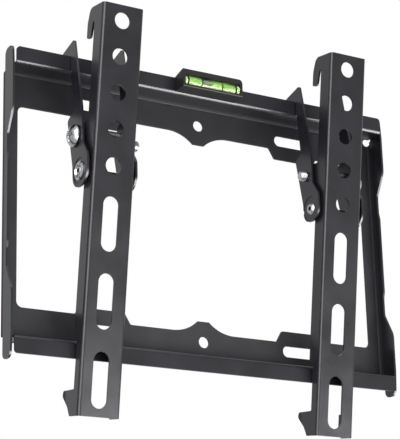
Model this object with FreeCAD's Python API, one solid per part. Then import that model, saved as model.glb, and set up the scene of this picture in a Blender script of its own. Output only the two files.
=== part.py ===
"""Tilting wall bracket for a flat screen, in millimetres.

Frame: +Z up, +X to the right as seen from the room, +Y into the wall. The wall is the plane y = 0,
and the origin is the middle of the wall plate's fixing pattern. The arms stand at full forward tilt.
"""
import math
import os

import FreeCAD
import Part

Vector = FreeCAD.Vector

# Wall plate
SHEET = 1.2
BEND_INNER_R = 1.0
PLATE_WIDTH = 244.0
SHELF_Z = 75.4
LIP_HEIGHT = 9.7
SHELF_DEPTH = 15.8
LIP_SLIT = 0.6
LIP_CORNER_R = 2.0
FIXING_PITCH_Z = 129.0
CENTRE_HOLE_D = 6.5
SLOT_WIDTH = 6.5
SLOT_LENGTH = 26.6
SLOT_PITCH_X = 131.0
OPENING_WIDTH = 226.4
OPENING_CORNER_R = 3.5
RAIL_MIDDLE_Z = 59.2
RAIL_OUTER_Z = 56.6
TAB_Z = 52.7
TAB_WIDTH = 27.2
TAB_LEFT_SHIFT = 2.3
TAB_CORNER_R = 1.5
TAB_CHAMFER_DEG = 60.0
CENTRE_TAB_WIDTH = 7.2
CENTRE_TAB_FLARE = 16.1
RELIEF_R = 2.4

# Side flanges of the wall plate
FLANGE_DEPTH = 14.4
FLANGE_EAR_DEPTH = 13.4
FLANGE_WAIST_DEPTH = 7.2
FLANGE_MIDDLE_DEPTH = 8.2
FLANGE_MIDDLE_Z = 23.0
FLANGE_STEP_Z = 27.0
FLANGE_WAIST_Z = 37.0
FLANGE_TAPER_Z = 50.5
FLANGE_END_Z = 86.9
FLANGE_EAR_BACK = 4.0
FLANGE_END_R = 3.6
FLANGE_TAPER_R = 9.0

# Arms, measured along the face from the top hole (s) and back from the face (d)
ARM_INSET = 48.4
ARM_OFFSET = -0.35
ARM_WIDTH = 24.5
ARM_FACE_BEND_R = 0.8
ARM_TOP = 8.7
ARM_BOTTOM = 212.9
ARM_FLANGE_DEPTH = 10.4
ARM_TILT_DEG = 8.9
HOLE_D = 9.2
HOLE_OFFSET = -0.5
HOLE_PITCH = 20.0
HOLE_COUNT = 5
ARM_SLOT_COUNT = 3
ARM_SLOT_GAP = 16.5
ARM_SLOT_WEB = 11.6
ARM_SLOT_MARGIN = 4.4
HOOK_DEPTH = 18.8
HOOK_TIP = 8.4
HOOK_GAP_ROOT = 1.9
HOOK_GAP_MOUTH = 3.0
NOTCH_LENGTH = 28.0
NOTCH_DEPTH = 6.7
FOOT_HEIGHT = 13.9
FOOT_DEPTH = 19.7
PLAIN_FLANGE_DEPTH = 10.9
PLAIN_FOOT_DEPTH = 13.2

# Tilt pivot and lock bolt
PIVOT_Y = -26.6
PIVOT_Z = 14.75
PIVOT_S = 82.8
PIVOT_D = 12.0
LOCK_Y = -21.9
LOCK_Z = 36.0
TILT_RANGE_DEG = 8.9
RUNNING_CLEARANCE = 0.05
RIVET_D = 4.0
RIVET_BORE_D = 2.6
RIVET_HEAD_D = 10.4
RIVET_HEAD_H = 1.2
RIVET_TAIL_D = 6.8
RIVET_TAIL_H = 0.9
LOCK_D = 6.0
LOCK_SLOT_CLEARANCE = 0.25
LOCK_SLOT_SPARE_DEG = 0.8
LOCK_HEAD_D = 12.4
LOCK_HEAD_H = 4.6
LOCK_HEAD_RIM_H = 1.4
LOCK_RECESS_SPAN = 7.2
LOCK_RECESS_WIDTH = 1.9
LOCK_RECESS_DEPTH = 2.4
LOCK_LENGTH = 37.6
LOCK_BACK_OUT = 3.9
LOCK_END_CHAMFER = 0.6
LOCK_TUBE_D = 12.0
LOCK_SLEEVE_D = 10.0
PIVOT_SLEEVE_D = 9.0
SLEEVE_CLEARANCE = 0.1
EAR_MARGIN = 2.3
EAR_PIVOT_R = 6.3

# Hook plates
HOOK_PLATE = 1.2
HOOK_SPACING = 28.2
HOOK_OFFSET = 0.25
LIP_CLEARANCE = 0.35
LIP_SEAT_GAP = 0.05
HOOK_BACK_Y = -5.4
HOOK_BACK_DROP = 7.0
HOOK_PEAK_RISE = 8.0
HOOK_PEAK_WIDTH = 1.7
HOOK_BACK_RISE = 4.7
HOOK_END_R = 9.6
HOOK_INNER_TRIM = 1.2
COIN_D = 14.6
COIN_DEPTH = 0.3

# Spirit level
LEVEL_X = -3.5
LEVEL_LENGTH = 39.0
LEVEL_DEPTH = 10.0
LEVEL_RISE = 1.1
LEVEL_FRONT_HEIGHT = 10.9
LEVEL_CORNER_R = 3.0
LEVEL_EDGE_R = 0.6
WINDOW_LENGTH = 36.0
WINDOW_HEIGHT = 6.2
WINDOW_RISE = 1.4
WINDOW_FRAME = 0.5
VIAL_D = 6.4
VIAL_WALL = 0.6
MARK_OFFSET = 6.65
MARK_WIDTH = 0.6
END_MARK_OFFSET = 15.65
END_MARK_WIDTH = 1.0
MARK_HEIGHT = 0.1
BUBBLE_LENGTH = 6.5
BUBBLE_D = 3.4
BUBBLE_OFFSET = -3.4
BUBBLE_RISE = 0.3
LEVEL_FIT = 0.05

# Places worked out from the sizes above
BEND_OUTER_R = BEND_INNER_R + SHEET
HALF_PLATE = PLATE_WIDTH / 2
FLANGE_INNER_X = HALF_PLATE - SHEET
LIP_HALF = FLANGE_INNER_X - LIP_SLIT
LIP_Z = SHELF_Z + LIP_HEIGHT
LEVEL_LOW_Z = SHELF_Z + LEVEL_RISE
LEVEL_FRONT_TOP_Z = LEVEL_LOW_Z + LEVEL_FRONT_HEIGHT
WINDOW_LOW_Z = LEVEL_LOW_Z + WINDOW_RISE
LIP_FRONT_Y = -SHELF_DEPTH
LIP_BACK_Y = LIP_FRONT_Y + SHEET
FIXING_Z = FIXING_PITCH_Z / 2
SLOT_X = SLOT_PITCH_X / 2
ARM_X = HALF_PLATE - ARM_INSET
ARM_HALF = ARM_WIDTH / 2
ARM_SLOT_TOP = (HOLE_COUNT - 1) * HOLE_PITCH + ARM_SLOT_GAP
ARM_SLOT_ROOM = ARM_BOTTOM - ARM_SLOT_MARGIN - ARM_SLOT_TOP
ARM_SLOT_LENGTH = (ARM_SLOT_ROOM - (ARM_SLOT_COUNT - 1) * ARM_SLOT_WEB) / ARM_SLOT_COUNT
ARM_SLOT_PITCH = ARM_SLOT_LENGTH + ARM_SLOT_WEB
FOOT_TOP = ARM_BOTTOM - FOOT_HEIGHT
NOTCH_TOP = FOOT_TOP - NOTCH_LENGTH
PLATE_INNER = HOOK_SPACING / 2
PLATE_OUTER = PLATE_INNER + HOOK_PLATE
LOCK_ARM_R = math.hypot(LOCK_Y - PIVOT_Y, LOCK_Z - PIVOT_Z)
LOCK_LEAN_DEG = math.degrees(math.atan2(LOCK_Y - PIVOT_Y, LOCK_Z - PIVOT_Z))


def rounded_outline(points):
    """Closed wire through (u, v, radius) corners; corners with a radius become tangent arcs."""
    corners = []
    count = len(points)
    for index, (u, v, radius) in enumerate(points):
        here = Vector(u, v, 0)
        before = Vector(points[index - 1][0], points[index - 1][1], 0)
        after = Vector(points[(index + 1) % count][0], points[(index + 1) % count][1], 0)
        back = (before - here).normalize()
        ahead = (after - here).normalize()
        if radius <= 0:
            corners.append((here, None, here))
            continue
        half = back.getAngle(ahead) / 2
        reach = radius / math.tan(half)
        centre = here + (back + ahead).normalize() * (radius / math.sin(half))
        middle = centre + (here - centre).normalize() * radius
        corners.append((here + back * reach, middle, here + ahead * reach))
    edges = []
    for index, (start, middle, end) in enumerate(corners):
        if middle is not None:
            edges.append(Part.Arc(start, middle, end).toShape())
        following = corners[(index + 1) % count][0]
        if end.distanceToPoint(following) > 1e-6:
            edges.append(Part.makeLine(end, following))
    return Part.Wire(edges)


def in_frame(shape, x_axis, y_axis):
    """Turn a shape drawn in the XY plane so that its X and Y lie along the given axes."""
    z_axis = x_axis.cross(y_axis)
    turned = shape.copy()
    turned.transformShape(FreeCAD.Matrix(
        x_axis.x, y_axis.x, z_axis.x, 0,
        x_axis.y, y_axis.y, z_axis.y, 0,
        x_axis.z, y_axis.z, z_axis.z, 0,
        0, 0, 0, 1))
    return turned


def side_solid(points, x_from, x_to):
    """Prism along X between two planes, from (y, z, radius) corners."""
    wire = in_frame(rounded_outline(points), Vector(0, 1, 0), Vector(0, 0, 1))
    wire.translate(Vector(x_from, 0, 0))
    return Part.Face(wire).extrude(Vector(x_to - x_from, 0, 0))


def front_solid(points, y_from, y_to):
    """Prism along Y between two planes, from (x, z, radius) corners."""
    wire = in_frame(rounded_outline(points), Vector(1, 0, 0), Vector(0, 0, 1))
    wire.translate(Vector(0, y_from, 0))
    return Part.Face(wire).extrude(Vector(0, y_to - y_from, 0))


def plan_solid(points, z_from, z_to):
    """Prism along Z between two planes, from (x, y, radius) corners."""
    wire = rounded_outline(points)
    wire.translate(Vector(0, 0, z_from))
    return Part.Face(wire).extrude(Vector(0, 0, z_to - z_from))


def rod_x(diameter, x_from, x_to, y, z):
    """Round bar along X."""
    return Part.makeCylinder(diameter / 2, x_to - x_from, Vector(x_from, y, z), Vector(1, 0, 0))


def rod_y(diameter, y_from, y_to, x, z):
    """Round bar along Y."""
    return Part.makeCylinder(diameter / 2, y_to - y_from, Vector(x, y_from, z), Vector(0, 1, 0))


def turned_x(profile, y, z, direction):
    """Solid of revolution about an axis along X, from (x, radius) corners; direction is +1 or -1."""
    points = [Vector(x * direction, radius, 0) for x, radius in profile]
    face = Part.Face(Part.makePolygon(points + points[:1]))
    solid = face.revolve(Vector(0, 0, 0), Vector(1, 0, 0), 360)
    solid.translate(Vector(0, y, z))
    return Part.makeSolid(solid) if solid.ShapeType != "Solid" else solid


def mirrored(shape, normal):
    """Copy of a shape mirrored about the plane through the origin with the given normal."""
    return shape.mirror(Vector(0, 0, 0), normal)


def rail_section():
    """Top rail as (y, z, radius) corners: panel strip, shelf and lip in one bent sheet."""
    panel_foot = SHELF_Z - BEND_OUTER_R - SHEET
    shelf_top = SHELF_Z + SHEET
    return [
        (0, panel_foot, 0),
        (0, shelf_top, BEND_OUTER_R),
        (LIP_BACK_Y, shelf_top, BEND_INNER_R),
        (LIP_BACK_Y, LIP_Z, 0),
        (LIP_FRONT_Y, LIP_Z, 0),
        (LIP_FRONT_Y, SHELF_Z, BEND_OUTER_R),
        (-SHEET, SHELF_Z, BEND_INNER_R),
        (-SHEET, panel_foot, 0),
    ]


def rail():
    """Top rail with the corners of its lip rounded."""
    bar = side_solid(rail_section(), -LIP_HALF, LIP_HALF)
    trim_z = SHELF_Z - 4 * BEND_OUTER_R
    trim = front_solid([
        (-LIP_HALF, trim_z, 0),
        (LIP_HALF, trim_z, 0),
        (LIP_HALF, LIP_Z, LIP_CORNER_R),
        (-LIP_HALF, LIP_Z, LIP_CORNER_R),
    ], LIP_FRONT_Y - 1, 1)
    return bar.common(trim)


def rail_edge(side):
    """Edge of the opening along one rail from left to right, as (x, z, radius) corners.

    The left tab sits a little nearer the middle than the right one.
    """
    chamfer_slope = math.tan(math.radians(TAB_CHAMFER_DEG))
    inner_run = (RAIL_MIDDLE_Z - TAB_Z) / chamfer_slope
    outer_run = (RAIL_OUTER_Z - TAB_Z) / chamfer_slope
    halves = []
    for shift in (TAB_LEFT_SHIFT, 0):
        tab_in = SLOT_X - shift - TAB_WIDTH / 2
        tab_out = SLOT_X - shift + TAB_WIDTH / 2
        halves.append([
            (tab_in - inner_run, RAIL_MIDDLE_Z, TAB_CORNER_R),
            (tab_in, TAB_Z, TAB_CORNER_R),
            (tab_out, TAB_Z, TAB_CORNER_R),
            (tab_out + outer_run, RAIL_OUTER_Z, TAB_CORNER_R),
            (OPENING_WIDTH / 2, RAIL_OUTER_Z, OPENING_CORNER_R),
        ])
    left = [(-x, z, radius) for x, z, radius in reversed(halves[0])]
    return [(x, side * z, radius) for x, z, radius in left + halves[1]]


def centre_tab():
    """Tab under the middle of the top rail, with concave flanks that run out along the rail's edge."""
    half = CENTRE_TAB_WIDTH / 2
    rise = RAIL_MIDDLE_Z - TAB_Z
    radius = (CENTRE_TAB_FLARE ** 2 + rise ** 2) / (2 * rise)
    outer = half + CENTRE_TAB_FLARE
    turn = math.asin(CENTRE_TAB_FLARE / radius) / 2
    middle_x = outer - radius * math.sin(turn)
    middle_z = RAIL_MIDDLE_Z - radius * (1 - math.cos(turn))
    root = RAIL_MIDDLE_Z + SHEET
    right = Part.Arc(Vector(half, 0, TAB_Z), Vector(middle_x, 0, middle_z), Vector(outer, 0, RAIL_MIDDLE_Z))
    left = Part.Arc(Vector(-outer, 0, RAIL_MIDDLE_Z), Vector(-middle_x, 0, middle_z), Vector(-half, 0, TAB_Z))
    edges = [
        left.toShape(),
        Part.makeLine(Vector(-half, 0, TAB_Z), Vector(half, 0, TAB_Z)),
        right.toShape(),
        Part.makeLine(Vector(outer, 0, RAIL_MIDDLE_Z), Vector(outer, 0, root)),
        Part.makeLine(Vector(outer, 0, root), Vector(-outer, 0, root)),
        Part.makeLine(Vector(-outer, 0, root), Vector(-outer, 0, RAIL_MIDDLE_Z)),
    ]
    return Part.Face(Part.Wire(edges)).extrude(Vector(0, -SHEET, 0))


def panel():
    """Flat frame of the wall plate between its bends, with the opening, slots and holes."""
    half_height = SHELF_Z - BEND_INNER_R
    half_width = HALF_PLATE - BEND_OUTER_R
    corners = [(-half_width, -half_height), (half_width, -half_height),
               (half_width, half_height), (-half_width, half_height)]
    sheet = front_solid([(x, z, 0) for x, z in corners], -SHEET, 0)
    opening = rail_edge(1) + list(reversed(rail_edge(-1)))
    sheet = sheet.cut(front_solid(opening, -SHEET - 1, 1))
    sheet = sheet.fuse(centre_tab()).fuse(mirrored(centre_tab(), Vector(0, 0, 1)))
    for z in (FIXING_Z, -FIXING_Z):
        sheet = sheet.cut(rod_y(CENTRE_HOLE_D, -SHEET - 1, 1, 0, z))
        for x in (SLOT_X, -SLOT_X):
            sheet = sheet.cut(long_hole(x, z, SLOT_LENGTH, SLOT_WIDTH))
    return sheet


def long_hole(x, z, length, width):
    """Cutter for a slot along X through the wall plate's panel."""
    half = length / 2
    radius = width / 2 - 0.001
    return front_solid([
        (x - half, z - width / 2, radius),
        (x + half, z - width / 2, radius),
        (x + half, z + width / 2, radius),
        (x - half, z + width / 2, radius),
    ], -SHEET - 1, 1)


def flange_profile():
    """Side flange as (y, z, radius) corners: deep ends, a narrow waist and ears past the shelves."""
    upper = [
        (-FLANGE_MIDDLE_DEPTH, FLANGE_MIDDLE_Z, 3),
        (-FLANGE_WAIST_DEPTH, FLANGE_STEP_Z, 3),
        (-FLANGE_WAIST_DEPTH, FLANGE_WAIST_Z, FLANGE_TAPER_R / 2),
        (-FLANGE_DEPTH, FLANGE_TAPER_Z, FLANGE_TAPER_R),
        (-FLANGE_DEPTH, SHELF_Z - RELIEF_R, 3),
        (-FLANGE_EAR_DEPTH, FLANGE_END_Z, FLANGE_END_R),
        (-FLANGE_EAR_BACK, FLANGE_END_Z, FLANGE_END_R),
        (-FLANGE_EAR_BACK, SHELF_Z - BEND_INNER_R, 0),
        (-BEND_OUTER_R, SHELF_Z - BEND_INNER_R, 0),
    ]
    lower = [(y, -z, radius) for y, z, radius in reversed(upper)]
    return upper + lower


def side_flange():
    """Right side flange with the bend that joins it to the panel."""
    plate = side_solid(flange_profile(), FLANGE_INNER_X, HALF_PLATE)
    bend_z = SHELF_Z - BEND_INNER_R
    bend_x = HALF_PLATE - BEND_OUTER_R
    bend = plan_solid([
        (bend_x - SHEET, 0, 0),
        (HALF_PLATE, 0, BEND_OUTER_R),
        (HALF_PLATE, -BEND_OUTER_R - SHEET, 0),
        (FLANGE_INNER_X, -BEND_OUTER_R - SHEET, 0),
        (FLANGE_INNER_X, -SHEET, BEND_INNER_R),
        (bend_x - SHEET, -SHEET, 0),
    ], -bend_z, bend_z)
    return plate.fuse(bend)


def wall_plate():
    """The whole folded sheet, with round reliefs where three bends meet."""
    plate = panel()
    plate = plate.fuse([rail(), mirrored(rail(), Vector(0, 0, 1)),
                        side_flange(), mirrored(side_flange(), Vector(1, 0, 0))])
    relief_x = FLANGE_INNER_X - RELIEF_R / 2
    relief_z = SHELF_Z - RELIEF_R / 2
    for x in (relief_x, -relief_x):
        for z in (relief_z, -relief_z):
            plate = plate.cut(rod_y(2 * RELIEF_R, -BEND_OUTER_R - SHEET / 2, 1, x, z))
    return plate.removeSplitter()


def arm_point(s, d, radius=0):
    """Corner of the arm's side view: s down from the top hole, d back from the face."""
    return (d - PIVOT_D, PIVOT_S - s, radius)


def arm_outline():
    """Side view of the arm: hook at the top, ear at the pivot, notch and foot at the bottom."""
    depth = ARM_FLANGE_DEPTH
    hook_root = depth + HOOK_GAP_ROOT
    hook_mouth = depth + HOOK_GAP_MOUTH
    ear_top = LOCK_ARM_R + LOCK_D / 2 + LOCK_SLOT_CLEARANCE + EAR_MARGIN
    lean = math.radians(LOCK_LEAN_DEG + ARM_TILT_DEG + LOCK_SLOT_SPARE_DEG)
    ear_back = LOCK_ARM_R * math.sin(lean) + LOCK_D / 2 + LOCK_SLOT_CLEARANCE + EAR_MARGIN
    ear_low = EAR_PIVOT_R
    return [
        arm_point(-ARM_TOP, 0),
        arm_point(-ARM_TOP, HOOK_DEPTH - 2.5, 4),
        arm_point(-0.5, HOOK_DEPTH, 9),
        arm_point(HOOK_TIP, HOOK_DEPTH, 1.6),
        arm_point(HOOK_TIP, hook_mouth + 0.6, 1.2),
        arm_point(0, hook_root, 0.6),
        arm_point(0, depth, 0.6),
        (depth - PIVOT_D, ear_top, 1.0),
        (ear_back - 3.4, ear_top, 4.0),
        (ear_back, LOCK_ARM_R * 0.8, 6.0),
        (ear_low, 0, 6.0),
        (ear_low, -ear_low, ear_low - 0.4),
        (depth - PIVOT_D, -ear_low, 1.0),
        arm_point(NOTCH_TOP, depth, 1.0),
        arm_point(NOTCH_TOP, NOTCH_DEPTH, 0.6),
        arm_point(FOOT_TOP, NOTCH_DEPTH, 0.6),
        arm_point(FOOT_TOP + 0.5, FOOT_DEPTH - 0.6, 1.2),
        arm_point(FOOT_TOP + 3.2, FOOT_DEPTH + 0.4, 1.8),
        arm_point(FOOT_TOP + 9.0, FOOT_DEPTH - 6.2, 6),
        arm_point(ARM_BOTTOM, ARM_FLANGE_DEPTH),
        arm_point(ARM_BOTTOM, 0),
    ]


def plain_end(s_from, s_to, depth):
    """Cutter that leaves the right flange plain, at a given depth, between two places along the arm."""
    low = min(PIVOT_S - s_from, PIVOT_S - s_to)
    high = max(PIVOT_S - s_from, PIVOT_S - s_to)
    start = depth - PIVOT_D
    far = FOOT_DEPTH + HOOK_DEPTH
    return side_solid([(start, low, 0), (far, low, 0), (far, high, 0), (start, high, 0)], 0, ARM_HALF + 1)


def arm_blank():
    """Channel with the side view of the arm: face in front, a flange on each side, open at the back.

    The left flange has the hook and the foot; the right one is plain at both ends.
    """
    block = side_solid(arm_outline(), -ARM_HALF, ARM_HALF)
    block = block.cut(plain_end(-ARM_TOP - 1, HOOK_TIP + 1, PLAIN_FLANGE_DEPTH))
    block = block.cut(plain_end(FOOT_TOP - 1, ARM_BOTTOM + 1, PLAIN_FOOT_DEPTH))
    outer_r = ARM_FACE_BEND_R + SHEET
    far = FOOT_DEPTH + PIVOT_D
    envelope = plan_solid([
        (-ARM_HALF, -PIVOT_D, outer_r),
        (ARM_HALF, -PIVOT_D, outer_r),
        (ARM_HALF, far, 0),
        (-ARM_HALF, far, 0),
    ], PIVOT_S - ARM_BOTTOM - 1, PIVOT_S + ARM_TOP + 1)
    inner_half = ARM_HALF - SHEET
    inside = plan_solid([
        (-inner_half, SHEET - PIVOT_D, ARM_FACE_BEND_R),
        (inner_half, SHEET - PIVOT_D, ARM_FACE_BEND_R),
        (inner_half, far + 1, 0),
        (-inner_half, far + 1, 0),
    ], PIVOT_S - ARM_BOTTOM - 1, PIVOT_S + ARM_TOP + 1)
    return block.common(envelope).cut(inside)


def arc_slot():
    """Cutter for the curved slots that the lock bolt travels in, about the pivot axis."""
    radius = LOCK_D / 2 + LOCK_SLOT_CLEARANCE
    end = math.radians(LOCK_LEAN_DEG + ARM_TILT_DEG + LOCK_SLOT_SPARE_DEG)
    start = end - math.radians(TILT_RANGE_DEG + 2 * LOCK_SLOT_SPARE_DEG)
    length = ARM_WIDTH + 2

    def on_arc(angle, distance):
        return Vector(-length / 2, distance * math.sin(angle), distance * math.cos(angle))

    middle = (start + end) / 2
    inner = LOCK_ARM_R - radius
    outer = LOCK_ARM_R + radius
    end_cap = on_arc(end, LOCK_ARM_R) + Vector(0, math.cos(end), -math.sin(end)) * radius
    start_cap = on_arc(start, LOCK_ARM_R) - Vector(0, math.cos(start), -math.sin(start)) * radius
    edges = [
        Part.Arc(on_arc(start, outer), on_arc(middle, outer), on_arc(end, outer)).toShape(),
        Part.Arc(on_arc(end, outer), end_cap, on_arc(end, inner)).toShape(),
        Part.Arc(on_arc(end, inner), on_arc(middle, inner), on_arc(start, inner)).toShape(),
        Part.Arc(on_arc(start, inner), start_cap, on_arc(start, outer)).toShape(),
    ]
    return Part.Face(Part.Wire(edges)).extrude(Vector(length, 0, 0))


def arm_slot(s_middle):
    """Cutter for one long slot in the arm's face."""
    half = ARM_SLOT_LENGTH / 2
    left = HOLE_OFFSET - HOLE_D / 2
    right = HOLE_OFFSET + HOLE_D / 2
    radius = HOLE_D / 2 - 0.001
    z = PIVOT_S - s_middle
    return front_solid([
        (left, z - half, radius),
        (right, z - half, radius),
        (right, z + half, radius),
        (left, z + half, radius),
    ], -PIVOT_D - 1, -PIVOT_D + SHEET + 1)


def arm_middle(side):
    """Place along X of the middle of one arm; side is -1 for left, +1 for right."""
    return side * ARM_X + ARM_OFFSET


def hook_middle(side):
    """Place along X midway between the two hook plates of one arm."""
    return side * ARM_X + HOOK_OFFSET


def arm(side):
    """Tilting arm, placed on the pivot axis at full forward tilt."""
    channel = arm_blank()
    for index in range(HOLE_COUNT):
        z = PIVOT_S - index * HOLE_PITCH
        channel = channel.cut(rod_y(HOLE_D, -PIVOT_D - 1, -PIVOT_D + SHEET + 1, HOLE_OFFSET, z))
    for index in range(ARM_SLOT_COUNT):
        channel = channel.cut(arm_slot(ARM_SLOT_TOP + ARM_SLOT_LENGTH / 2 + index * ARM_SLOT_PITCH))
    pivot_hole = RIVET_D + 2 * RUNNING_CLEARANCE
    channel = channel.cut(rod_x(pivot_hole, -ARM_HALF - 1, ARM_HALF + 1, 0, 0))
    channel = channel.cut(arc_slot()).removeSplitter()
    channel.rotate(Vector(0, 0, 0), Vector(1, 0, 0), ARM_TILT_DEG)
    channel.translate(Vector(arm_middle(side), PIVOT_Y, PIVOT_Z))
    return channel


def hook_outline(trim):
    """Hook plate as (y, z, radius) corners: hook over the lip, neck, and a round end at the pivot.

    The trim is how much narrower on each edge the lower end is than that of an outer plate.
    """
    slot_front = LIP_FRONT_Y - LIP_CLEARANCE
    slot_back = LIP_BACK_Y + LIP_CLEARANCE
    seat = LIP_Z + LIP_SEAT_GAP
    end_r = HOOK_END_R - trim
    end_low = PIVOT_Z - end_r
    end_front = PIVOT_Y - end_r
    end_back = PIVOT_Y + end_r
    return [
        (slot_front - 5.0, LIP_Z + HOOK_PEAK_RISE - 0.6, 0.6),
        (slot_front - 5.0 + HOOK_PEAK_WIDTH, LIP_Z + HOOK_PEAK_RISE, 0.6),
        (HOOK_BACK_Y, LIP_Z + HOOK_BACK_RISE, 2.5),
        (HOOK_BACK_Y, LIP_Z - HOOK_BACK_DROP, 2.0),
        (slot_back, LIP_Z - HOOK_BACK_DROP, 2.0),
        (slot_back, seat, 0.6),
        (slot_front, seat, 0.6),
        (slot_front - 3.0, LOCK_Z + 15.0, 2.0),
        (LOCK_Y + 9.8 - trim, LOCK_Z + 12.0, 2.2),
        (end_back - 1.0, PIVOT_Z + 5.0, 6.0),
        (end_back - 1.4, end_low + 1.6, end_r - 2.0),
        (end_front, end_low - 0.4, end_r - 0.6),
        (end_front, PIVOT_Z + 7.4, 5.0),
        (LOCK_Y - 8.8 + trim, LOCK_Z - 5.6, 4.0),
        (LOCK_Y - 7.6, LOCK_Z + 15.0, 0),
    ]


def hook_plate(side, facing):
    """One hook plate; facing is -1 or +1 for the arm's left or right flank."""
    near = hook_middle(side) + facing * PLATE_INNER
    far = hook_middle(side) + facing * PLATE_OUTER
    low, high = sorted((near, far))
    trim = 0 if facing == side else HOOK_INNER_TRIM
    plate = side_solid(hook_outline(trim), low, high)
    rivet_hole = RIVET_D + 2 * RUNNING_CLEARANCE
    lock_hole = LOCK_D + 2 * RUNNING_CLEARANCE
    plate = plate.cut(rod_x(rivet_hole, low - 1, high + 1, PIVOT_Y, PIVOT_Z))
    plate = plate.cut(rod_x(lock_hole, low - 1, high + 1, LOCK_Y, LOCK_Z))
    coin_low, coin_high = sorted((far - facing * COIN_DEPTH, far + facing))
    return plate.cut(rod_x(COIN_D, coin_low, coin_high, PIVOT_Y, PIVOT_Z))


def lock_bolt(side):
    """Cross recess bolt through both hook plates, head outside; the right bolt is partly screwed out."""
    shank = LOCK_D / 2
    head = LOCK_HEAD_D / 2
    seat = PLATE_OUTER + (LOCK_BACK_OUT if side > 0 else 0)
    end = seat - LOCK_LENGTH
    dome_r = ((LOCK_HEAD_H - LOCK_HEAD_RIM_H) ** 2 + head ** 2) / (2 * (LOCK_HEAD_H - LOCK_HEAD_RIM_H))
    body = turned_x([
        (end, 0),
        (end, shank - LOCK_END_CHAMFER),
        (end + LOCK_END_CHAMFER, shank),
        (seat, shank),
        (seat, head),
        (seat + LOCK_HEAD_H, head),
        (seat + LOCK_HEAD_H, 0),
    ], 0, 0, side)
    dome_x = side * (seat + LOCK_HEAD_H - dome_r)
    dome = Part.makeSphere(dome_r, Vector(dome_x, 0, 0))
    shaft = rod_x(LOCK_HEAD_D, end - 1, seat, 0, 0)
    if side < 0:
        shaft = mirrored(shaft, Vector(1, 0, 0))
    body = body.common(dome.fuse(shaft))
    recess_from, recess_to = sorted((side * (seat + LOCK_HEAD_H - LOCK_RECESS_DEPTH),
                                     side * (seat + LOCK_HEAD_H + 1)))
    half_span = LOCK_RECESS_SPAN / 2
    half_width = LOCK_RECESS_WIDTH / 2
    for reach_y, reach_z in ((half_span, half_width), (half_width, half_span)):
        arms = [(-reach_y, -reach_z, 0), (reach_y, -reach_z, 0), (reach_y, reach_z, 0), (-reach_y, reach_z, 0)]
        body = body.cut(side_solid(arms, recess_from, recess_to))
    body.translate(Vector(hook_middle(side), LOCK_Y, LOCK_Z))
    return body.removeSplitter()


def spacer(side, outer, shank, y, z):
    """Two short sleeves on a bolt or rivet, between the arm's flanges and the hook plates."""
    bore = shank + 2 * RUNNING_CLEARANCE
    sleeves = []
    for facing in (-1, 1):
        near, far = sorted((arm_middle(side) + facing * (ARM_HALF + SLEEVE_CLEARANCE),
                            hook_middle(side) + facing * (PLATE_INNER - SLEEVE_CLEARANCE)))
        sleeves.append(rod_x(outer, near, far, y, z).cut(rod_x(bore, near - 1, far + 1, y, z)))
    return sleeves


def lock_sleeves(side):
    """The lock bolt's two short sleeves, with a wider tube between the flanges, inside the channel."""
    reach = ARM_HALF - SHEET - SLEEVE_CLEARANCE
    low = arm_middle(side) - reach
    high = arm_middle(side) + reach
    bore = LOCK_D + 2 * RUNNING_CLEARANCE
    tube = rod_x(LOCK_TUBE_D, low, high, LOCK_Y, LOCK_Z)
    tube = tube.cut(rod_x(bore, low - 1, high + 1, LOCK_Y, LOCK_Z))
    return Part.makeCompound([tube] + spacer(side, LOCK_SLEEVE_D, LOCK_D, LOCK_Y, LOCK_Z))


def pivot_rivet(side):
    """Hollow rivet through both hook plates and both flanges: stepped head outside, rolled end inside."""
    bore = RIVET_BORE_D / 2
    shank = RIVET_D / 2
    head = RIVET_HEAD_D / 2
    tail = RIVET_TAIL_D / 2
    seat = PLATE_OUTER - COIN_DEPTH
    top = seat + RIVET_HEAD_H
    end = -seat - RIVET_TAIL_H
    rivet = turned_x([
        (end, bore),
        (end, tail - 0.8),
        (-seat, tail),
        (-seat, shank),
        (seat, shank),
        (seat, head),
        (top - 0.6, head),
        (top, head - 0.8),
        (top, head - 1.4),
        (top - 0.8, head - 2.1),
        (top - 0.8, head - 2.5),
        (top - 0.2, head - 3.2),
        (top - 0.2, bore),
    ], PIVOT_Y, PIVOT_Z, side)
    rivet.translate(Vector(hook_middle(side), 0, 0))
    return rivet


def level_axis():
    """Place (y, z) of the vial's axis: behind the middle of the window."""
    reach = WINDOW_FRAME + VIAL_D / 2 + MARK_HEIGHT
    return LIP_FRONT_Y - LEVEL_DEPTH + reach, WINDOW_LOW_Z + WINDOW_HEIGHT / 2


def level_rod(diameter, x_from, x_to):
    """Round bar on the vial's axis, between two offsets from the middle of the level."""
    axis_y, axis_z = level_axis()
    return rod_x(diameter, LEVEL_X + x_from, LEVEL_X + x_to, axis_y, axis_z)


def level_ring(outer, inner, x_from, x_to):
    """Round tube on the vial's axis, between two offsets from the middle of the level."""
    return level_rod(outer, x_from, x_to).cut(level_rod(inner, x_from - 1, x_to + 1))


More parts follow.
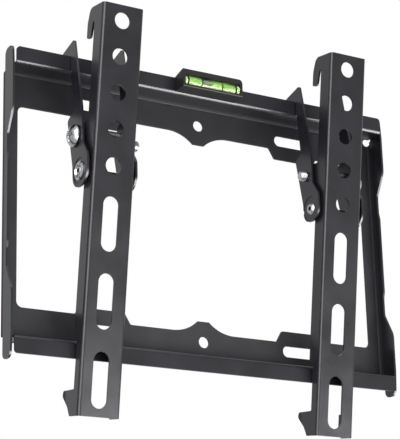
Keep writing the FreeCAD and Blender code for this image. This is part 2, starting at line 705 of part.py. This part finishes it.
def level_housing():
    """Moulded holder on the front of the lip, with a sloped top, a window and a bore for the vial."""
    front = LIP_FRONT_Y - LEVEL_DEPTH
    half = LEVEL_LENGTH / 2
    body = side_solid([
        (front, LEVEL_LOW_Z, LEVEL_EDGE_R),
        (front, LEVEL_FRONT_TOP_Z, LEVEL_EDGE_R),
        (LIP_FRONT_Y, LIP_Z, 0),
        (LIP_FRONT_Y, LEVEL_LOW_Z, 0),
    ], LEVEL_X - half, LEVEL_X + half)
    view = front_solid([
        (LEVEL_X - half, LEVEL_LOW_Z - 1, 0),
        (LEVEL_X + half, LEVEL_LOW_Z - 1, 0),
        (LEVEL_X + half, LEVEL_FRONT_TOP_Z, LEVEL_CORNER_R),
        (LEVEL_X - half, LEVEL_FRONT_TOP_Z, LEVEL_EDGE_R),
    ], front - 1, 0)
    half_window = WINDOW_LENGTH / 2
    window_top = WINDOW_LOW_Z + WINDOW_HEIGHT
    window = front_solid([
        (LEVEL_X - half_window, WINDOW_LOW_Z, LEVEL_EDGE_R),
        (LEVEL_X + half_window, WINDOW_LOW_Z, LEVEL_EDGE_R),
        (LEVEL_X + half_window, window_top, LEVEL_EDGE_R),
        (LEVEL_X - half_window, window_top, LEVEL_EDGE_R),
    ], front - 1, level_axis()[0])
    bore = VIAL_D + 2 * MARK_HEIGHT + 2 * LEVEL_FIT
    return body.common(view).cut(window).cut(level_rod(bore, -half_window, half_window))


def level_vial():
    """Clear tube, open at both ends for its plugs."""
    half = WINDOW_LENGTH / 2 - LEVEL_FIT
    return level_ring(VIAL_D, VIAL_D - 2 * VIAL_WALL, -half, half)


def level_plugs():
    """Two short round plugs that close the vial."""
    half = WINDOW_LENGTH / 2 - LEVEL_FIT
    diameter = VIAL_D - 2 * VIAL_WALL
    return Part.makeCompound([level_rod(diameter, -half, -END_MARK_OFFSET),
                              level_rod(diameter, END_MARK_OFFSET, half)])


def level_liquid():
    """Liquid between the plugs, with the air bubble as a hollow at the top of the tube."""
    axis_y, axis_z = level_axis()
    diameter = VIAL_D - 2 * VIAL_WALL
    column = level_rod(diameter, -END_MARK_OFFSET, END_MARK_OFFSET)
    half = BUBBLE_LENGTH / 2
    radius = BUBBLE_D / 2
    bubble = turned_x([
        (-half, 0),
        (-half, radius * 0.4),
        (-half * 0.75, radius * 0.8),
        (-half * 0.4, radius),
        (half * 0.4, radius),
        (half * 0.75, radius * 0.8),
        (half, radius * 0.4),
        (half, 0),
    ], axis_y, axis_z + diameter / 2 - radius + BUBBLE_RISE, 1)
    bubble.translate(Vector(LEVEL_X + BUBBLE_OFFSET, 0, 0))
    return column.cut(bubble)


def level_marks():
    """Dark rings on the vial: a thin pair either side of the middle, a wider pair at the plugs."""
    outer = VIAL_D + 2 * MARK_HEIGHT
    rings = []
    for offset, width in ((MARK_OFFSET, MARK_WIDTH), (END_MARK_OFFSET, END_MARK_WIDTH)):
        for middle in (-offset, offset):
            rings.append(level_ring(outer, VIAL_D, middle - width / 2, middle + width / 2))
    return Part.makeCompound(rings)


def main():
    """Write one STEP file for each piece."""
    pieces = {
        "wall_plate": wall_plate(),
        "level_housing": level_housing(),
        "level_vial": level_vial(),
        "level_plugs": level_plugs(),
        "level_liquid": level_liquid(),
        "level_marks": level_marks(),
    }
    for name, side in (("left", -1), ("right", 1)):
        pieces[name + "_arm"] = arm(side)
        pieces[name + "_outer_hook_plate"] = hook_plate(side, side)
        pieces[name + "_inner_hook_plate"] = hook_plate(side, -side)
        pieces[name + "_lock_bolt"] = lock_bolt(side)
        pieces[name + "_lock_sleeve"] = lock_sleeves(side)
        pieces[name + "_pivot_rivet"] = pivot_rivet(side)
        pieces[name + "_pivot_sleeve"] = Part.makeCompound(
            spacer(side, PIVOT_SLEEVE_D, RIVET_D, PIVOT_Y, PIVOT_Z))
    os.makedirs("parts", exist_ok=True)
    for name, shape in pieces.items():
        shape.exportStep("parts/" + name + ".step")


main()
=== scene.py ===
"""Tilting wall bracket for a flat screen: finishes, thread detail, studio light and camera.

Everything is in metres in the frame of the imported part: X along the rails, -Y out from the wall, Z up.
"""

import bmesh
import bpy
import numpy as np
from mathutils import Matrix, Vector


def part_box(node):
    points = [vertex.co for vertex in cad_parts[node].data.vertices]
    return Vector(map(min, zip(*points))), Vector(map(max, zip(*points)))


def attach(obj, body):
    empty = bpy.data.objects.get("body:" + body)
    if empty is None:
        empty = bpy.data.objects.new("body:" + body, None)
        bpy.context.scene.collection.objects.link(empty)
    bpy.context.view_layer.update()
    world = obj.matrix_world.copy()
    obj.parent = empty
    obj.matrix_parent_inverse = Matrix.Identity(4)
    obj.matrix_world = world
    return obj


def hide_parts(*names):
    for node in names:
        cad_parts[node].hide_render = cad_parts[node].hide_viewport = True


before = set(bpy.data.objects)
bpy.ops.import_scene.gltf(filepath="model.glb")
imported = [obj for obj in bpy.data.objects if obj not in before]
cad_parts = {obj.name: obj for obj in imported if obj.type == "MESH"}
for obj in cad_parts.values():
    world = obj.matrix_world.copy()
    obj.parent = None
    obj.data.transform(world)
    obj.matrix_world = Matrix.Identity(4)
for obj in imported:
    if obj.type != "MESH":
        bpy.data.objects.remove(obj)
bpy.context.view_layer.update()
MM = 0.001
SIDES = ("left", "right")

# Node kinds, and the range that a noise mostly keeps to.
NOISE = "ShaderNodeTexNoise"
RAMP = "ShaderNodeValToRGB"
RANGE = "ShaderNodeMapRange"
MATH = "ShaderNodeMath"
MIX = "ShaderNodeMix"
BUMP = "ShaderNodeBump"
MAPPING = "ShaderNodeMapping"
SPLIT = "ShaderNodeSeparateXYZ"
PRINCIPLED = "ShaderNodeBsdfPrincipled"
NOISE_LOW, NOISE_HIGH = 0.3, 0.7


def linear(hex_colour):
    """sRGB hex to linear RGBA: c/12.92 below 0.04045, else ((c + 0.055)/1.055)^2.4."""
    c = np.array([int(hex_colour[i:i + 2], 16) for i in (1, 3, 5)]) / 255.0
    lin = np.where(c <= 0.04045, c / 12.92, ((c + 0.055) / 1.055) ** 2.4)
    return (*lin.tolist(), 1.0)


def grey(v):
    """A grey for a ramp that gives a number, such as a roughness."""
    return (v, v, v, 1.0)


def between(first, last):
    """Ramp stops from the first colour to the last over a noise's range."""
    return {"stops": ((NOISE_LOW, first), (NOISE_HIGH, last))}


def add(tree, kind, settings=None, **sockets):
    """Adds one node: settings are its properties or a ramp's stops, sockets are values or (node, output).

    A socket is named with _ for a space, or by its number as i0, i1 and so on.
    """
    node = tree.nodes.new(kind)
    for name, value in (settings or {}).items():
        if name == "stops":
            while len(node.color_ramp.elements) < len(value):
                node.color_ramp.elements.new(0.5)
            for element, (place, colour) in zip(node.color_ramp.elements, value):
                element.position, element.color = place, colour
        else:
            setattr(node, name, value)
    for name, value in sockets.items():
        by_number = name[0] == "i" and name[1:].isdigit()
        socket = node.inputs[int(name[1:]) if by_number else name.replace("_", " ")]
        if isinstance(value, tuple) and isinstance(value[0], bpy.types.Node):
            tree.links.new(value[0].outputs[value[1]], socket)
        else:
            socket.default_value = value
    return node


def start(name):
    """A new material, its empty tree, and the object's own coordinates to link to."""
    mat = bpy.data.materials.new(name)
    mat.use_nodes = True
    tree = mat.node_tree
    tree.nodes.clear()
    return mat, tree, (add(tree, "ShaderNodeTexCoord"), "Object")


def close(tree, shader):
    """Joins the shader to the material's output."""
    add(tree, "ShaderNodeOutputMaterial", None, Surface=(shader, "BSDF"))


def show(name, data):
    """A new object at the origin, in the scene."""
    thing = bpy.data.objects.new(name, data)
    bpy.context.scene.collection.objects.link(thing)
    return thing


def powder_coated_steel():
    """Satin black polyester powder baked on pressed steel: an almost black ground with a soft sheen, a fine
    orange peel of about 0.7 mm and slow changes in gloss over 20 mm. The coat is duller on the wall panel,
    and dullest in the inner bends beside it, where less powder reaches."""
    mat, tree, where = start("powder_coated_steel_satin_black")
    peel_size, cloud_size = 0.7 * MM, 20 * MM
    far, near = -5.0, -1.0  # Y in millimetres, with the wall at 0, between which the gloss changes
    dullness = ((-4.6, 0.0), (-3.0, 0.6), (-1.4, 0.6), (-1.22, 0.15))  # Y and the roughness added there
    peel = add(tree, NOISE, None, Vector=where, Scale=1 / peel_size, Detail=2.0, Roughness=0.5)
    slow = add(tree, NOISE, None, Vector=where, Scale=1 / cloud_size, Detail=3.0)
    tone = add(tree, RAMP, between(linear("#19171d"), linear("#222027")), Fac=(slow, "Fac"))
    gloss = add(tree, RANGE, None, Value=(slow, "Fac"), From_Min=NOISE_LOW, From_Max=NOISE_HIGH,
                To_Min=0.27, To_Max=0.33)
    out = add(tree, SPLIT, None, Vector=where)
    reach = add(tree, RANGE, None, Value=(out, "Y"), From_Min=far * MM, From_Max=near * MM)
    stops = tuple(((y - far) / (near - far), grey(v)) for y, v in dullness)
    inside = add(tree, RAMP, {"stops": stops}, Fac=(reach, "Result"))
    dull = add(tree, MATH, {"operation": "ADD"}, i0=(gloss, "Result"), i1=(inside, "Color"))
    bump = add(tree, BUMP, None, Strength=0.05, Distance=0.05 * MM, Height=(peel, "Fac"))
    close(tree, add(tree, PRINCIPLED, None, Base_Color=(tone, "Color"), Roughness=(dull, "Value"), IOR=1.5,
                    Specular_IOR_Level=0.28, Normal=(bump, "Normal")))
    return mat


def zinc_plated_steel():
    """Bright zinc plate on a fastener: a cool pale metal, a little cloudy over 1.5 mm."""
    mat, tree, where = start("zinc_plated_steel_bright")
    cloud_size = 1.5 * MM
    cloud = add(tree, NOISE, None, Vector=where, Scale=1 / cloud_size, Detail=4.0)
    tone = add(tree, RAMP, between(linear("#888b8e"), linear("#a6a9ac")), Fac=(cloud, "Fac"))
    gloss = add(tree, RAMP, between(grey(0.2), grey(0.28)), Fac=(cloud, "Fac"))
    bump = add(tree, BUMP, None, Strength=0.05, Distance=0.01 * MM, Height=(cloud, "Fac"))
    close(tree, add(tree, PRINCIPLED, None, Base_Color=(tone, "Color"), Metallic=1.0,
                    Roughness=(gloss, "Color"), Normal=(bump, "Normal")))
    return mat


def drawn_steel_tube():
    """Dull drawn tube, oiled: a grey metal with faint streaks along its length, 0.4 mm apart."""
    mat, tree, where = start("drawn_steel_tube_dull")
    streak_size, stretch = 0.4 * MM, (0.05, 1.0, 1.0)
    along = add(tree, MAPPING, None, Vector=where, Scale=stretch)
    streak = add(tree, NOISE, None, Vector=(along, "Vector"), Scale=1 / streak_size, Detail=2.0)
    tone = add(tree, RAMP, between(linear("#505356"), linear("#6b6e71")), Fac=(streak, "Fac"))
    gloss = add(tree, RAMP, between(grey(0.32), grey(0.5)), Fac=(streak, "Fac"))
    close(tree, add(tree, PRINCIPLED, None, Base_Color=(tone, "Color"), Metallic=1.0,
                    Roughness=(gloss, "Color")))
    return mat


def moulded_abs():
    """Black ABS from a spark-eroded mould: near black, with a matt grain of about 0.3 mm."""
    mat, tree, where = start("abs_moulded_black")
    grain_size = 0.3 * MM
    grain = add(tree, NOISE, None, Vector=where, Scale=1 / grain_size, Detail=2.0)
    tone = add(tree, RAMP, between(linear("#151516"), linear("#1d1d1e")), Fac=(grain, "Fac"))
    gloss = add(tree, RAMP, between(grey(0.42), grey(0.55)), Fac=(grain, "Fac"))
    bump = add(tree, BUMP, None, Strength=0.15, Distance=0.03 * MM, Height=(grain, "Fac"))
    close(tree, add(tree, PRINCIPLED, None, Base_Color=(tone, "Color"), Roughness=(gloss, "Color"), IOR=1.53,
                    Specular_IOR_Level=0.16, Normal=(bump, "Normal")))
    return mat


def clear_acrylic():
    """Extruded clear acrylic tube: almost colourless, with sharp reflections that take on some of the dye's
    lime, and a gloss that changes a little over 2 mm."""
    mat, tree, where = start("acrylic_extruded_clear")
    cloud_size = 2 * MM
    cloud = add(tree, NOISE, None, Vector=where, Scale=1 / cloud_size, Detail=1.0)
    gloss = add(tree, RAMP, between(grey(0.01), grey(0.04)), Fac=(cloud, "Fac"))
    close(tree, add(tree, PRINCIPLED, None, Base_Color=linear("#f6fbf2"), Roughness=(gloss, "Color"),
                    IOR=1.49, Specular_Tint=linear("#a8c878"), Transmission_Weight=1.0))
    return mat


def frosted_acrylic():
    """Moulded acrylic plug: pale, cloudy and satin, tinted by the liquid behind it, and given a painted glow
    that stands in for the light coming through it from the liquid.
    """
    mat, tree, where = start("acrylic_moulded_frosted")
    cloud_size = 1.0 * MM
    cloud = add(tree, NOISE, None, Vector=where, Scale=1 / cloud_size, Detail=3.0)
    tone = add(tree, RAMP, between(linear("#b3cc93"), linear("#cfe0b4")), Fac=(cloud, "Fac"))
    # The emission is a painted glow in the plug's own tone.
    close(tree, add(tree, PRINCIPLED, None, Base_Color=(tone, "Color"), Roughness=0.35, IOR=1.49,
                    Emission_Color=(tone, "Color"), Emission_Strength=0.3))
    return mat


def dyed_spirit():
    """Fluorescent dyed spirit: lime green with a painted glow, pale yellow low in the tube as a painted pool
    of light where the round tube gathers the light, lighter at the top as painted light, and a grey lens with
    a dark rim of painted shade where the air bubble shows."""
    mat, tree, where = start("spirit_dyed_lime")
    low, high = (Vector(v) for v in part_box("level_liquid"))
    drift_size, sway = 5 * MM, 0.16
    # Tones up the liquid. The pale yellow low in the tube is a painted pool of light where the round tube
    # gathers it, and the lighter top is painted light as well.
    painted_light_by_height = ((0.22, "#e9f5c8"), (0.4, "#cbe69a"), (0.5, "#8bc162"), (0.75, "#7fbb5c"), (1.0, "#c0f088"))
    # The bubble's grey lens and dark rim are painted shade, standing in for light bent at the edge of the
    # air.
    air_tones = ((0.0, "#4f6f4c"), (0.3, "#66786a"), (0.6, "#869389"))
    half_wide, half_high = 4.4 * MM, 2.2 * MM  # of the bubble
    bubble_left, bubble_below = 2.9 * MM, 1.8 * MM  # its centre from the middle and the top of the liquid
    rim_outer, rim_inner = 0.02, 0.14  # 0 is the bubble's outline and 1 its centre
    painted_glow, darker = 0.6, 0.65  # strength of the painted glow, and the share by which the lit colour under the glow is darker

    drift = add(tree, NOISE, None, Vector=where, Scale=1 / drift_size, Detail=2.0)
    height = add(tree, SPLIT, None, Vector=where)
    rise = add(tree, RANGE, None, Value=(height, "Z"), From_Min=low.z, From_Max=high.z)
    waver = add(tree, RANGE, None, Value=(drift, "Fac"), From_Min=NOISE_LOW, From_Max=NOISE_HIGH,
                To_Min=-sway, To_Max=sway)
    level = add(tree, MATH, {"operation": "ADD"}, i0=(rise, "Result"), i1=(waver, "Result"))
    tone = add(tree, RAMP, {"stops": tuple((p, linear(c)) for p, c in painted_light_by_height)}, Fac=(level, "Value"))

    bubble_x = (low.x + high.x) / 2 - bubble_left
    bubble_z = high.z - bubble_below
    lens = add(tree, MAPPING, None, Vector=where,
               Location=(-bubble_x / half_wide, 0.0, -bubble_z / half_high),
               Scale=(1 / half_wide, 0.0, 1 / half_high))
    # The bubble is painted on the liquid: a grey lens, with a dark rim of painted shade.
    ball = add(tree, "ShaderNodeTexGradient", {"gradient_type": "SPHERICAL"}, Vector=(lens, "Vector"))
    air = add(tree, RAMP, {"stops": tuple((p, linear(c)) for p, c in air_tones)}, Fac=(ball, "Fac"))
    rim = add(tree, RAMP, {"stops": ((rim_outer, grey(0.0)), (rim_inner, grey(1.0)))}, Fac=(ball, "Fac"))
    colour = add(tree, MIX, {"data_type": "RGBA"}, i0=(rim, "Color"), i6=(tone, "Color"), i7=(air, "Color"))
    deep = add(tree, MIX, {"data_type": "RGBA"}, i0=darker, i6=(colour, 2), i7=linear("#000000"))
    close(tree, add(tree, PRINCIPLED, None, Base_Color=(deep, 2), Roughness=0.1, IOR=1.36,
                    Specular_IOR_Level=0.1, Emission_Color=(colour, 2), Emission_Strength=painted_glow))
    return mat


def printed_ink():
    """Black ink rolled on the tube: matt, a little thinner in places."""
    mat, tree, where = start("ink_printed_black")
    wear_size = 0.5 * MM
    wear = add(tree, NOISE, None, Vector=where, Scale=1 / wear_size, Detail=2.0)
    tone = add(tree, RAMP, between(linear("#090b07"), linear("#161a10")), Fac=(wear, "Fac"))
    close(tree, add(tree, PRINCIPLED, None, Base_Color=(tone, "Color"), Roughness=0.6, IOR=1.5,
                    Specular_IOR_Level=0.1))
    return mat


finish = {
    "black_coat": powder_coated_steel(),
    "black_plastic": moulded_abs(),
    "clear_acrylic": clear_acrylic(),
    "pale_acrylic": frosted_acrylic(),
    "green_liquid": dyed_spirit(),
    "black_ink": printed_ink(),
    "zinc": zinc_plated_steel(),
    "dark_steel": drawn_steel_tube(),
}
SLOT_OF = {"wall_plate": "black_coat", "level_housing": "black_plastic", "level_vial": "clear_acrylic",
           "level_plugs": "pale_acrylic", "level_liquid": "green_liquid", "level_marks": "black_ink"}
for side in SIDES:
    for piece in ("arm", "outer_hook_plate", "inner_hook_plate"):
        SLOT_OF[f"{side}_{piece}"] = "black_coat"
    for piece in ("lock_bolt", "pivot_rivet"):
        SLOT_OF[f"{side}_{piece}"] = "zinc"
    for piece in ("lock_sleeve", "pivot_sleeve"):
        SLOT_OF[f"{side}_{piece}"] = "dark_steel"


def dress(thing, slot):
    """Gives an object the finish of a material slot."""
    thing.data.materials.clear()
    thing.data.materials.append(finish[slot])


for node, slot in SLOT_OF.items():
    dress(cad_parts[node], slot)


def smooth(mesh):
    """Smooth shading with edges of more than 30 degrees left sharp."""
    mesh.shade_smooth()
    mesh.set_sharp_from_angle(angle=np.radians(30.0))


def head_and_shank(side, node, begin, toward):
    """A copy of the plain bolt, merged, cut off where the thread begins and closed there."""
    whole = bmesh.new()
    whole.from_mesh(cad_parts[node].data)
    bmesh.ops.remove_doubles(whole, verts=whole.verts, dist=1e-6)
    bmesh.ops.bisect_plane(whole, geom=whole.verts[:] + whole.edges[:] + whole.faces[:],
                           plane_co=(begin, 0, 0), plane_no=(toward, 0, 0), clear_outer=True)
    bmesh.ops.holes_fill(whole, edges=whole.edges[:])
    mesh = bpy.data.meshes.new(f"{side}_bolt_head_and_shank")
    whole.to_mesh(mesh)
    whole.free()
    smooth(mesh)
    return show(mesh.name, mesh)


def free_thread(side, begin, toward, length, axis):
    """The M6 thread on the bolt's free end, as a grid over turns v and length x.

    r = root + depth * tri(x / pitch - v), where tri is 0 at a whole number and 1 halfway, with its foot and
    crest cut flat, held under a 45 degree chamfer at the end and closed on the axis at both ends.
    """
    pitch, root, depth = 1.0 * MM, 2.45 * MM, 0.53 * MM
    slope, foot = 1.3, 0.12  # how tri is stretched and lowered before it is cut to 0..1
    end_radius, pole_radius = 2.3 * MM, 0.01 * MM
    rows_per_pitch, columns = 16, 64

    along = np.linspace(0.0, length, int(length / pitch * rows_per_pitch) + 1)
    turn = np.arange(columns) / columns
    x, v = np.meshgrid(along, turn, indexing="ij")
    tri = 1.0 - np.abs(2.0 * np.mod(x / pitch - v, 1.0) - 1.0)
    ridge = root + depth * np.clip(slope * tri - foot, 0.0, 1.0)
    r = np.minimum(ridge, end_radius + along[-1] - x)
    x, r, v = (np.vstack([a[:1], a, a[-1:]]) for a in (x, r, v))
    r[[0, -1]] = pole_radius
    points = np.stack([begin + toward * x, axis[1] + r * np.cos(2 * np.pi * v),
                       axis[2] + toward * r * np.sin(2 * np.pi * v)], axis=-1)

    row = np.arange(len(x) - 1)[:, None] * columns
    a = row + np.arange(columns)[None, :]
    b = row + (np.arange(columns) + 1)[None, :] % columns
    quads = np.stack([a, b, b + columns, a + columns], axis=-1).reshape(-1, 4)
    mesh = bpy.data.meshes.new(f"{side}_bolt_thread")
    mesh.from_pydata(points.reshape(-1, 3).tolist(), [], quads.tolist())
    smooth(mesh)
    return show(mesh.name, mesh)


def threaded_bolt(side):
    """The lock bolt with its free end threaded from the inner hook plate on, in place of the plain one."""
    node = f"{side}_lock_bolt"
    toward = 1 if side == "left" else -1
    low, high = (np.array(v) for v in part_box(node))
    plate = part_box(f"{side}_inner_hook_plate")
    begin = plate[1][0] if side == "left" else plate[0][0]
    end = high[0] if side == "left" else low[0]

    body = head_and_shank(side, node, begin, toward)
    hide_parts(node)
    thread = free_thread(side, begin, toward, abs(end - begin), (low + high) / 2)
    for piece in (body, thread):
        dress(piece, "zinc")
        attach(piece, f"{side}_hook")


for side in SIDES:
    threaded_bolt(side)


def paper_floor():
    """A square of white paper under the part, a little mottled."""
    half_side, level = 4.0, -0.7
    mesh = bpy.data.meshes.new("floor")
    mesh.from_pydata([(-half_side, -half_side, level), (half_side, -half_side, level),
                      (half_side, half_side, level), (-half_side, half_side, level)], [], [(0, 1, 2, 3)])
    floor = show("floor", mesh)
    mat, tree, where = start("paper_sweep_white")
    mottle_size = 250 * MM
    mottle = add(tree, NOISE, None, Vector=where, Scale=1 / mottle_size, Detail=2.0)
    tone = add(tree, RAMP, between(linear("#f1f1ef"), linear("#f5f5f3")), Fac=(mottle, "Fac"))
    close(tree, add(tree, PRINCIPLED, None, Base_Color=(tone, "Color"), Roughness=0.8))
    mesh.materials.append(mat)


def white_room():
    """Plain white surroundings, which give most of the light on the colours."""
    world = bpy.data.worlds.new("white_studio")
    bpy.context.scene.world = world
    world.use_nodes = True
    tree = world.node_tree
    tree.nodes.clear()
    back = add(tree, "ShaderNodeBackground", None, Color=(1.0, 1.0, 1.0, 1.0), Strength=1.0)
    add(tree, "ShaderNodeOutputWorld", None, Surface=(back, "Background"))


def soft_boxes():
    """Four soft boxes that face the part. The three narrow bright ones are there for the sheen of the coat
    along its folds, so only glossy surfaces see them, and they don't brighten the colours."""
    for name, direction, reach, size, radiance, sheen_only in (
            ("left_strip", (-0.73, -0.66, 0.20), 1.1, (0.8, 1.4), 9.5, True),
            ("low_box", (0.50, -0.50, -0.70), 0.75, (1.2, 0.55), 23.0, True),
            ("front_box", (0.56, -0.70, -0.43), 1.1, (1.2, 0.40), 12.5, True),
            ("top_box", (0.10, -0.45, 0.89), 1.2, (0.8, 0.5), 4.0, False)):
        lamp = bpy.data.lights.new(name, "AREA")
        lamp.shape = "RECTANGLE"
        lamp.size, lamp.size_y = size
        lamp.energy = radiance * np.pi * size[0] * size[1]
        box = show(name, lamp)
        spot = Vector(direction).normalized() * reach
        box.matrix_world = Matrix.Translation(spot) @ spot.to_track_quat("Z", "Y").to_matrix().to_4x4()
        box.visible_camera = False
        box.visible_diffuse = not sheen_only


def camera():
    """A long lens to the left of and below the part, turned a little about its axis.

    d is the way from the part to the lens; right = -d x Z, up = right x -d, both turned by the roll.
    """
    frame_width, frame_height = 400.0, 439.0
    azimuth, elevation, roll = np.radians((-31.4140, -17.3952, -1.9019))
    focal_pixels = 1641.819
    centre_x, centre_y = 232.022, 242.804  # the pixel on the lens's axis
    across, upward, distance = -18.2513, 5.7721, 933.7605  # the part's origin from the lens, in millimetres
    sensor = 36.0

    d = np.array([np.sin(azimuth) * np.cos(elevation),
                  -np.cos(azimuth) * np.cos(elevation),
                  np.sin(elevation)])
    right = np.cross(-d, (0, 0, 1))
    right /= np.linalg.norm(right)
    up = np.cross(right, -d)
    r = np.cos(roll) * right + np.sin(roll) * up
    u = -np.sin(roll) * right + np.cos(roll) * up
    spot = -(across * r + upward * u - distance * d) * MM

    lens = bpy.data.cameras.new("camera")
    lens.sensor_width = sensor
    lens.lens = focal_pixels * sensor / frame_height
    lens.shift_x = (frame_width / 2 - centre_x) / frame_height
    lens.shift_y = (centre_y - frame_height / 2) / frame_height
    lens.clip_start, lens.clip_end = 0.05, 20.0
    eye = show("camera", lens)
    eye.matrix_world = Matrix(np.vstack([np.column_stack([r, u, d, spot]), [0, 0, 0, 1]]).tolist())
    bpy.context.scene.camera = eye


paper_floor()
white_room()
soft_boxes()
camera()
bpy.context.scene.view_settings.view_transform = "Standard"
